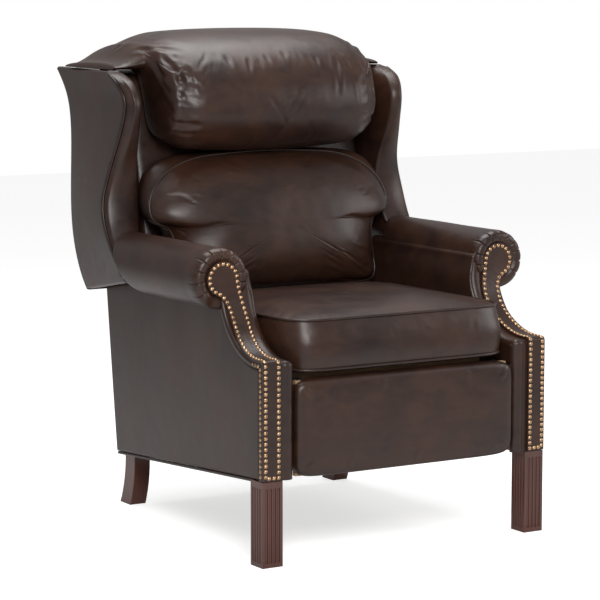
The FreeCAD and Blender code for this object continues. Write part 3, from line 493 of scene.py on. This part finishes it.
def inflate(piece, held, cap, pressure=4.0, stiff=15.0, frames=20):
    """Blows the case up as cloth over some frames, with the held points pinned and gravity off.
    No point may move further than cap, in mm. Then the shape is kept."""
    scene = bpy.context.scene
    group = piece.vertex_groups.new(name="held")
    group.add(np.flatnonzero(held).tolist(), 1.0, "REPLACE")
    cloth = piece.modifiers.new("air", "CLOTH")
    cloth.settings.use_pressure = True
    cloth.settings.uniform_pressure_force = pressure
    cloth.settings.vertex_group_mass = "held"
    cloth.settings.tension_stiffness = stiff
    cloth.settings.compression_stiffness = stiff
    cloth.settings.effector_weights.gravity = 0.0
    cloth.settings.quality = 4
    cloth.point_cache.frame_start, cloth.point_cache.frame_end = 1, frames
    start = np.empty(len(piece.data.vertices) * 3)
    piece.data.vertices.foreach_get("co", start)
    for n in range(1, frames + 1):
        scene.frame_set(n)
    grown = piece.evaluated_get(bpy.context.evaluated_depsgraph_get()).to_mesh()
    end = np.empty_like(start)
    grown.vertices.foreach_get("co", end)
    move = (end - start).reshape(-1, 3)
    far = np.maximum(np.linalg.norm(move, axis=1) * 1000 / cap, 1e-9)
    move *= (np.tanh(far) / far)[:, None]
    piece.modifiers.remove(cloth)
    piece.vertex_groups.clear()
    scene.frame_set(1)
    piece.data.vertices.foreach_set("co", start + move.ravel())
    piece.data.update()


def refine(piece, rings):
    """The piece on a grid twice as fine both ways, along smooth lines through its points, so
    that fine folds have points to move."""
    rows, cols = rings.shape[:2]
    co = np.empty(len(piece.data.vertices) * 3)
    piece.data.vertices.foreach_get("co", co)
    grid = co[:rows * cols * 3].reshape(rows, -1)
    fine = flow(grid, 2 * rows - 1).reshape(2 * rows - 1, cols, 3).transpose(1, 0, 2)
    fine = flow(fine.reshape(cols, -1), 2 * cols, closed=True).reshape(2 * cols, -1, 3)
    name = piece.name
    bpy.data.objects.remove(piece)
    return skin(name, fine.transpose(1, 0, 2))


def make_seat():
    """Rings from the bottom welt up the boxing to the top welt, then in over the crown."""
    keys = flow([(0, 120, 110, 3.5), (0, 60, 60, 5), (0, 26, 24, 7), (0.5, 12, 10, 8.5), (4, 6, 5, 9),
                 (10, 2.5, 1, 9.5), (20, 0.5, 0, 9.5), (42, -1, 0, 9.5), (66, -1.5, 3, 9.5),
                 (90, 0, 9, 9.5), (104, 1.5, 12, 9.5), (111.5, 3, 14, 9.5), (115, 4, 15, 9),
                 (117, 12, 17, 8.5), (121, 30, 20, 7), (125.5, 62, 22, 5.2), (129, 104, 20, 4),
                 (131.5, 152, 16, 3.3), (132.8, 205, 8, 3), (133.2, 250, 2, 2.6)], 70)
    rings = []
    for up, inset, setback, power in keys:
        y0, y1 = 2.0 + inset + setback, 516.5 - inset
        ring = squarish(272.5 - inset, (y1 - y0) / 2, power)
        x, y = ring[:, 0], (y0 + y1) / 2 + ring[:, 1]
        fall = 3.5 * step(60, 115, up) * (y - 2) / 514
        rings.append(at(x, y, 397.2 + up - fall))
    return np.array(rings), keys[:, 0]


rings, up = make_seat()
seat = skin("seat_cushion_leather", rings)
welt_rows = [int(np.abs(up - u).argmin()) for u in (10, 114)]
held = np.zeros(len(seat.data.vertices), bool)
count = rings.shape[1]
held[:(welt_rows[0] + 1) * count] = True
held[welt_rows[1] * count:(welt_rows[1] + 1) * count] = True
held[len(rings) * count] = True
inflate(seat, held, cap=7.0)
seat = refine(seat, rings)


def crinkle(piece, folds):
    """Presses folds into a piece. Each is a start, an end, a width and a depth in mm: points
    near the line between them sink, most at its middle, and rise a little beside it."""
    mesh = piece.data
    co = np.empty(len(mesh.vertices) * 3)
    mesh.vertices.foreach_get("co", co)
    normal = np.empty_like(co)
    mesh.vertices.foreach_get("normal", normal)
    p, n = co.reshape(-1, 3), normal.reshape(-1, 3)
    push = np.zeros(len(p))
    for start, end, width, depth in folds:
        a, b = at(*start), at(*end)
        t = np.clip(((p - a) @ (b - a)) / ((b - a) @ (b - a)), 0, 1)
        gap = np.linalg.norm(p - a - t[:, None] * (b - a), axis=1) * 1000 / width
        push += depth * np.sin(np.pi * np.clip(t * 0.96 + 0.02, 0, 1)) ** 0.7 * (
            0.45 * np.exp(-((gap - 1.9) / 0.9) ** 2) - np.exp(-gap ** 2))
    mesh.vertices.foreach_set("co", (p + n * push[:, None] / 1000).ravel())
    mesh.update()


seat_folds = [((-262, 6, 500), (-232, 2, 470), 5, 2.6), ((-255, 8, 508), (-205, 4, 478), 4, 1.6),
              ((-250, 2, 470), (-225, 0, 440), 6, 2.0), ((-262, 0, 440), (-235, 0, 420), 5, 2.0),
              ((-150, 2, 500), (-140, 1, 470), 5, 1.0), ((-40, 2, 498), (-30, 1, 462), 5, 0.9),
              ((40, 2, 500), (55, 1, 466), 5, 1.1), ((110, 2, 500), (120, 1, 470), 5, 0.9),
              ((180, 2, 498), (172, 1, 462), 6, 1.2), ((262, 6, 500), (240, 2, 466), 5, 2.2),
              ((255, 4, 470), (230, 0, 432), 6, 1.6), ((265, 0, 438), (238, 0, 418), 5, 1.8)]
crinkle(seat, seat_folds)
settle(seat, hide_soft, "seat")
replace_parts(seat, "seat_cushion")


def outwards(line, plane):
    """Unit directions from the middle of a closed line, kept in a plane such as (1, 1, 0)."""
    away = (line - line.mean(0)) * plane
    return away / np.linalg.norm(away, axis=1)[:, None]


for name, row, out in (("seat_welt_lower", welt_rows[0], 2.0), ("seat_welt_upper", welt_rows[1], 2.2)):
    line = rings[row] + outwards(rings[row], (1, 1, 0)) * out / 1000
    settle(tube(name, line, 0.0031, closed=True), hide_welt, "seat")

# Footrest: foam on a board, leather pulled round all four edges and stapled behind. It hangs on
# two steel brackets and closes the front of the chair under the seat.


def make_footrest():
    """Rings out from the board round the edge and in over a nearly flat, softly full face."""
    rings = []
    for out, inset, power in flow([(-11.4, 30, 8), (-11.4, 6, 10), (-10.8, 1, 11), (-6, 0, 12),
                                   (4, 0, 12), (12, 0.8, 12), (18.2, 4, 11), (21.4, 10, 10),
                                   (23.4, 22, 9), (24.6, 44, 6.5), (25.4, 66, 5),
                                   (25.8, 92, 3.4)], 44):
        ring = squarish(276.5 - inset, 104.5 - inset, power)
        rings.append(at(ring[:, 0], 18.2 - out, 285.5 + ring[:, 1]))
    return np.array(rings)


rings = make_footrest()
footrest = refine(skin("footrest_leather", rings), rings)
crinkle(footrest, [((-262, -2, 378), (-240, -6, 352), 5, 1.6), ((262, -2, 378), (240, -6, 352), 5, 1.6),
                   ((-262, -2, 194), (-238, -6, 214), 5, 1.6), ((262, -2, 194), (238, -6, 214), 5, 1.6),
                   ((-150, -6, 192), (-146, -6, 214), 6, 0.9), ((20, -6, 190), (26, -6, 216), 6, 0.8),
                   ((150, -6, 380), (156, -6, 352), 6, 0.8), ((-60, -6, 382), (-66, -6, 356), 6, 0.8)])
settle(footrest, hide_taut, "footrest")
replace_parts(footrest, "footrest_pad")

# Wings: a shaped board with the outside leather pulled flat over it, and a thick roll of foam
# round its front edge that runs back as the padded inner face. A double welt hides the join.

wing_lines = flow([(490, 468, 397, 342, 846), (560, 524, 399, 348, 898), (645, 591, 402, 330, 925),
                   (715, 619, 398, 318, 929), (790, 616, 381, 322, 926), (870, 588, 369, 330, 925),
                   (940, 571, 364, 331, 941), (985, 598, 371, 336, 975),
                   (1009, 653, 372, 340, 997)], 200)


def wing_at(z):
    """Front depth, front half width, inner half width and rear depth of the wing at a height."""
    return [np.interp(z, wing_lines[:, 0], wing_lines[:, k]) for k in (1, 2, 3, 4)]


def board_half(y, fy, fx, ry):
    """Half width of the wing board's outer face at a depth; it narrows to 338 at the rear."""
    return fx - (fx - 338.0) * (y - fy - 20) / (ry - fy - 20)


def wing_low(y):
    """Height of the wing's lower edge at a depth."""
    return 549.0 - (y - 515.0) * WING_SLOPE


def back_front(z):
    """Depth of the back frame's front face at a height; it leans 13 degrees at rest."""
    return 645.0 + (z - 480.0) * 0.23824


def make_wing_outside():
    """The outside leather: columns run from the lower edge up, rows from the welt to the rear
    corner. The sheet swells a little and turns over at its edges."""
    u, v = eased(90)[None, :], eased(130)[:, None]
    z = 540.0 + 469.0 * v + 0 * u
    for _ in range(12):
        fy, fx, _, ry = wing_at(z)
        y = fy + 20.4 + (ry - 0.4 - fy - 20.4) * u
        low = wing_low(y)
        z = low + 0.4 + (1009.2 - low) * v
    half = board_half(y, fy, fx, ry)
    edge = np.minimum(np.minimum(z - low, 1009.4 - z), np.minimum(y - fy - 20.4, ry - y))
    turn = rounding(edge, 6.0)
    puff = 4.5 * np.sin(np.pi * np.clip(u, 0, 1)) ** 0.7 * np.sin(np.pi * v) ** 0.5
    return at(half + puff + 0.5 - turn, y, z), at(half - 14.4, y, z)


def make_wing_pad():
    """Closed rings at rising heights: outer edge, round the nose, back along the inner face and
    home behind it. The rings close in over the top."""
    rounded = 1003 + 8.5 * np.sin(np.linspace(0.1, 1, 12) * np.pi / 2)
    heights = np.concatenate([np.linspace(527, 1003, 150), rounded])
    rings = []
    for z in heights:
        fy, fx, ix, ry = wing_at(min(z, 1009))
        y1 = back_front(z) - 0.5
        board = board_half(y1, fy, fx, ry) - 14.4
        rear = max(300.0, ix - 30.0) if z > 640 else ix - (ix - 300.0) * float(step(585, 640, z))
        mid = (fx + ix) / 2
        ring = flow([(fx - 14.4, fy + 26), (fx - 2, fy + 19.5), (fx + 1.5, fy + 12), (fx - 7, fy + 2.5),
                     (mid + 3, fy - 2.5), (ix + 4, fy + 3.5), (ix - 3, fy + 18),
                     (ix - 4 + 0.35 * (rear - ix), fy + 0.30 * (y1 - fy) + 14),
                     (ix + 0.75 * (rear - ix) - 2, fy + 0.66 * (y1 - fy) + 6), (rear, y1 - 10),
                     (rear + 5, y1), (board - 4, y1), (board - 0.5, y1 - 10),
                     ((board + fx - 14.4) / 2, (y1 + fy + 26) / 2)],
                    150, closed=True)
        close = 1 - np.cos(np.clip((z - 1003) / 8.5, 0, 1) * np.pi / 2) if z > 1003 else 0.0
        mid_x, mid_y = ring[:, 0].mean(), ring[:, 1].mean()
        x = ring[:, 0] - np.clip(ring[:, 0] - mid_x, -9, 9) * close
        y = ring[:, 1] - np.clip(ring[:, 1] - mid_y, -12, 12) * close
        low = np.maximum(z, wing_low(y) + 0.5)
        rings.append(at(x, y, low))
    return np.array(rings)


outside = make_wing_outside()
pad = make_wing_pad()
z = np.linspace(560, 1004, 160)
fy, fx, _, ry = wing_at(z)
for side, hand in (("_right", 1), ("_left", -1)):
    flip = np.array([hand, 1, 1])
    piece = skin("wing_outside" + side, slab(*(sheet * flip for sheet in outside)))
    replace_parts(settle(piece, hide_taut, "back"), "wing_board" + side)
    piece = settle(skin("wing_roll" + side, pad * flip), hide_taut, "back")
    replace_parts(piece, "wing_pad" + side)
    for name, behind in (("wing_welt_front", 22.0), ("wing_welt_rear", 28.6)):
        y = fy + behind
        line = at(board_half(y, fy, fx, ry) + 1.9, y, z) * flip
        piece = settle(tube(name + side, line, 0.0034), hide_welt, "back")
        if side == "_right" and name == "wing_welt_front":
            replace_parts(piece, "wing_welts")

# Top of the back: leather pulled forward from the outside back over a board, cut to the space
# between the wings and stapled down in front. The pillow lies on it and covers nearly all of it.

u = np.linspace(0, 1, 30)[:, None]
top_y, top_half = 812 + 172 * u, 341 - 16.5 * u
top_x = top_half * np.linspace(-1, 1, 50)[None, :]
top_z = 999.2 - rounding(np.minimum(top_half - np.abs(top_x), 984 - top_y), 5.0) * 0.8
piece = skin("back_top_leather", slab(at(top_x, top_y, top_z), at(top_x, top_y, 985.5 + 0 * top_z)))
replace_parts(settle(piece, hide_taut, "back"), "back_top_board")

# Inside back: one flat foam pad with leather pulled over it, mostly hidden by the lumbar cushion
# that is sewn on in front of it and by the pillow that hangs over its top.


PAD_FACE = 50.6  # how far the pad's face stands in front of the back frame


def make_back_pad():
    """Rings from the frame forward, rounded at the edges; narrower between the arms."""
    half = [(0, 545), (262, 545), (274, 552), (275, 606), (285, 622), (298, 634), (299, 700), (299, 930),
            (299, 990), (288, 1000), (0, 1000)]
    outline = flow(half + [(-x, z) for x, z in half[-2:0:-1]], 260, True)
    rings = []
    for out, inset in ((0, 40), (0, 2), (3, 0), (38, 0), (45, 2.5), (49, 8), (50.5, 20), (51, 60)):
        x = np.sign(outline[:, 0]) * np.clip(np.abs(outline[:, 0]) - inset, 0, None)
        h = outline[:, 1] + inset * np.clip((772 - outline[:, 1]) / 228, -1, 1)
        rings.append(at(x, back_front(h) - out, h))
    return np.array(rings)


back_pad = settle(skin("inside_back_leather", make_back_pad()), hide_taut, "back")
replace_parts(back_pad, "inside_back_pad")

# Apron: a plain strip of leather, sewn to the lower edge of the inside back and left hanging, which
# closes the gap between the back and the seat.

apron_z = np.linspace(476, 552, 24)[:, None]
apron_x = np.linspace(-262, 262, 60)[None, :]
apron_y = back_front(apron_z) - 46 + 26 * step(552, 476, apron_z) + 0 * apron_x
apron = [at(apron_x, apron_y + shift, apron_z) for shift in (0.0, 2.0)]
settle(skin("back_apron", slab(*apron)), hide_taut, "back")

# Lumbar cushion: a T-shaped pillow of foam and fibre, full in the middle and wider above the arms
# than between them, with a welt round its front panel. Sewn to the inside back along its sides.

LUMBAR_MID = 666.0


def lumbar_outline(count):
    """The outline at the back, with square shoulders, and the one in front, with round ones."""
    low = [(276, 660), (266, 640), (262, 612), (262, 572), (259, 530), (234, 514), (150, 512),
           (0, 512)]
    square = [(0, 824), (100, 823), (196, 819), (262, 806), (300, 778), (316, 728), (314, 688),
              (294, 668)]
    round_ = [(0, 822), (98, 818), (182, 808), (246, 780), (296, 737), (316, 705), (312, 680),
              (294, 668)]
    return [flow(top + low + [(-x, z) for x, z in (top + low)[-2:0:-1]], count, closed=True)
            for top in (square, round_)]


def make_lumbar():
    """The outline carried forward from the back pad, full at mid depth and domed in front."""
    square, round_ = lumbar_outline(220)
    rows = [(0.6, 0.55), (0.6, 0.90), (6, 0.955), (20, 0.99), (42, 1.004), (62, 1.0), (76, 0.985),
            (90, 0.955), (103, 0.90), (113, 0.81), (120, 0.68), (124.5, 0.52), (127, 0.33), (128, 0.12)]
    keys = flow(rows, 60)
    rings = []
    for out, shrink in keys:
        outline = square + (round_ - square) * step(40, 96, out)
        x, z = outline[:, 0] * shrink, LUMBAR_MID + (outline[:, 1] - LUMBAR_MID) * shrink
        belly = 1 + 0.10 * np.sin(np.pi * np.clip((z - 517) / 300, 0, 1)) * step(80, 128, out)
        rings.append(at(x, back_front(z) - PAD_FACE - out * belly, z))
    return np.array(rings), keys[:, 0]


rings, out = make_lumbar()
lumbar = skin("lumbar_leather", rings)
welt_row = int(np.abs(out - 72).argmin())
held = np.zeros(len(lumbar.data.vertices), bool)
held[:int(np.abs(out - 6).argmin()) * rings.shape[1]] = True
held[welt_row * rings.shape[1]:(welt_row + 1) * rings.shape[1]] = True
inflate(lumbar, held, cap=5.0)
lumbar = refine(lumbar, rings)
corner_folds = [((300, 600, 720), (262, 566, 690), 7, 3.0), ((305, 602, 700), (250, 560, 660), 6, 2.6),
                ((300, 600, 740), (240, 560, 735), 8, 2.0), ((258, 560, 600), (236, 520, 560), 6, 2.0),
                ((252, 540, 560), (238, 510, 530), 5, 2.4)]
lumbar_folds = [((s * a[0], *a[1:]), (s * b[0], *b[1:]), width, depth)
                for a, b, width, depth in corner_folds for s in (1, -1)]
lumbar_folds += [((60, 505, 548), (66, 500, 580), 9, 1.2), ((-90, 505, 546), (-84, 500, 575), 9, 1.0),
                 ((170, 515, 544), (162, 508, 584), 8, 1.4)]
crinkle(lumbar, lumbar_folds)
settle(lumbar, hide_soft, "back")
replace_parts(lumbar, "lumbar_cushion")
line = rings[welt_row] + outwards(rings[welt_row], (1, 0, 1)) * 0.0016
for name, behind in (("lumbar_welt", 0.0), ("lumbar_seam_roll", 0.0055)):
    cord = tube(name, line + [0, behind, 0], 0.0028, closed=True)
    settle(cord, hide_welt, "back")

# Headrest pillow: fibre in a leather case, gathered at both ends, hung over the top of the back
# and tacked there. Its upper part spreads over the wings; the front sags into a full roll.


def make_pillow():
    """Closed sections across the chair. The front lobe ends at the gathers; beyond them only
    the upper lobe goes on, over the wing."""
    around, across = 150, 150
    main_mid, ear_mid = np.array([690, 985.0]), np.array([800, 1012.5])
    main = flow([(676, 850), (648, 833), (612, 826), (566, 832), (526, 856), (503, 900), (503, 950),
                 (522, 1000), (556, 1040), (606, 1072), (662, 1090), (730, 1096), (800, 1095),
                 (862, 1089), (918, 1076), (960, 1055), (980, 1032), (972, 1013), (900, 1010),
                 (800, 1010), (735, 1011), (717, 1003), (702, 950), (688, 895)], around, True)
    upper = flow([(668, 1016), (652, 1014), (640, 1018), (632, 1026), (628, 1036), (632, 1046),
                  (642, 1056), (656, 1064), (676, 1071), (704, 1077), (740, 1080), (780, 1080),
                  (820, 1077), (860, 1070), (900, 1060), (936, 1046), (954, 1032), (950, 1018),
                  (920, 1013), (860, 1012), (800, 1012), (740, 1013), (700, 1014), (680, 1015)],
                 around, True)
    t = np.linspace(-1, 1, across)
    t = np.sign(t) * (1 - (1 - np.abs(t)) ** 1.35)
    rings = []
    for s in t:
        x = s * 356.0
        far = abs(x)
        lobe = 1 - float(step(262, 288, far))
        swell = np.sqrt(max(1 - (far / 680.0) ** 2, 0)) * (1 - 0.17 * float(step(190, 276, far)) ** 2)
        tip = float(np.clip((far - 345) / 11.2, 0, 1))
        end = max(1 - 0.78 * float(step(250, 345, far)), 0.02) * np.sqrt(max(1 - tip ** 2, 0.02))
        front = main_mid + (main - main_mid) * swell
        unshrunk = np.maximum(front[:, 1], np.minimum(main[:, 1], 1010))
        front[:, 1] = np.where(main[:, 1] < 1012, unshrunk, front[:, 1])
        pad_face_y = back_front(front[:, 1]) - PAD_FACE
        behind = (front[:, 0] > pad_face_y) & (front[:, 1] < 1009)
        front[:, 0] = np.where(behind, pad_face_y, front[:, 0])
        side_lobe = ear_mid + (upper - ear_mid) * [0.72 + 0.28 * end, end]
        ring = side_lobe + (front - side_lobe) * lobe
        ring[:, 1] = np.where(ring[:, 0] > 722, np.maximum(ring[:, 1], 1009.8), ring[:, 1])
        rings.append(at(np.full(around, x), ring[:, 0], ring[:, 1]))
    return np.array(rings)


rings = make_pillow()
pillow = skin("headrest_leather", rings)
co = rings.reshape(-1, 3)
depth, height = co[:, 1] * 1000 + MID_DEPTH, co[:, 2] * 1000
held = np.append((height < 1012) & (depth > 640) | (np.abs(co[:, 0]) > 0.272), [True, True])
inflate(pillow, held, cap=5.0)
pillow = refine(pillow, rings)
pillow_folds = []
for k, x in enumerate((-232, -190, -142, -118, -84, -46, -12, 18, 44, 76, 104, 150, 196, 238)):
    lean = 14 * np.sin(k * 1.9)
    low = 1000 - 38 * abs(np.sin(k * 2.3)) - 20
    pillow_folds.append(((x + lean, 560 + 10 * np.sin(k), 1046), (x - lean * 0.6, 512, low - 20),
                         5.5 + 1.5 * np.sin(k * 3.1), 2.1 + 0.9 * np.sin(k * 4.7)))
for s in (1, -1):
    for z0, z1 in ((1050, 1010), (1010, 975), (975, 940), (940, 910), (905, 885), (870, 862),
                   (850, 850)):
        end_y = 575 if z0 < 1000 else 600
        pillow_folds.append(((s * 282, end_y, z0 - 4), (s * 214, 514, z1 + 6), 6.5, 3.2))
    pillow_folds.append(((s * 276, 620, 1062), (s * 232, 520, 960), 7, 3.4))
    pillow_folds.append(((s * 282, 640, 1064), (s * 244, 530, 900), 7, 3.4))
    pillow_folds.append(((s * 300, 700, 1060), (s * 226, 590, 1052), 7, 3.0))
    pillow_folds.append(((s * 318, 780, 1056), (s * 226, 740, 1094), 8, 2.6))
crinkle(pillow, pillow_folds)
settle(pillow, hide_soft, "back")
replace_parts(pillow, "headrest_pillow")

# Studio: a pale floor, a large soft lamp over the camera's left shoulder, a weaker one from the
# right and one above, and an even sky that shows white to the camera.

floor_mesh = bpy.data.meshes.new("floor")
floor_mesh.from_pydata([(-9, -9, 0), (9, -9, 0), (9, 9, 0), (-9, 9, 0)], [], [(0, 1, 2, 3)])
floor = bpy.data.objects.new("floor", floor_mesh)
bpy.context.scene.collection.objects.link(floor)
floor_paint, floor_surface, floor_place = new_finish("pale_floor")
floor_surface.inputs["Base Color"].default_value = (0.80, 0.80, 0.80, 1)
seen = floor_place.add("ShaderNodeLightPath", {}, {}) * 0.62
glow = seen.ramp((0.0, (0.0,) * 3), (1.0, (1.0,) * 3))
glow.tree.links.new(glow.socket, floor_surface.inputs["Emission Color"])
floor_surface.inputs["Emission Strength"].default_value = 1.0
floor_surface.inputs["Roughness"].default_value = 0.9
floor_mesh.materials.append(floor_paint)

world = bpy.data.worlds.new("studio")
bpy.context.scene.world = world
world.use_nodes = True
sky = world.node_tree.nodes["Background"]
rays = Tone(world.node_tree, world.node_tree.nodes.new("ShaderNodeLightPath").outputs["Is Camera Ray"])
strength = rays * 0.62 + 0.38
world.node_tree.links.new(strength.socket, sky.inputs["Strength"])
sky.inputs["Color"].default_value = (1, 1, 1, 1)


def lamp(name, place, aim, size, power):
    """A square soft lamp at a place, turned to face another."""
    data = bpy.data.lights.new(name, "AREA")
    data.shape, data.size, data.energy = "SQUARE", size, power
    made = bpy.data.objects.new(name, data)
    made.location = place
    made.rotation_euler = (Vector(aim) - Vector(place)).to_track_quat("-Z", "Y").to_euler()
    bpy.context.scene.collection.objects.link(made)


lamp("key_lamp", (-1.5, -2.9, 2.3), (0, 0, 0.6), 1.3, 90.0)
lamp("fill_lamp", (2.6, -1.6, 1.5), (0, 0, 0.6), 1.4, 26.0)
lamp("top_lamp", (0.2, 0.6, 3.0), (0, 0, 0.6), 1.8, 60.0)

# Camera: a long lens in front of the chair and to its left, solved from the legs, nail rows, arms
# and wings in the photograph.

camera = bpy.data.objects.new("camera", bpy.data.cameras.new("camera"))
camera.data.lens = 154.76
camera.data.sensor_width = 36.0
camera_pitch, camera_yaw = 0.12942, 0.54399
camera.location = (-3.0121, -5.0311, 1.2490)
camera.rotation_euler = (np.pi / 2 - camera_pitch, 0, -camera_yaw)
bpy.context.scene.collection.objects.link(camera)
bpy.context.scene.camera = camera
bpy.context.scene.view_settings.view_transform = "Standard"
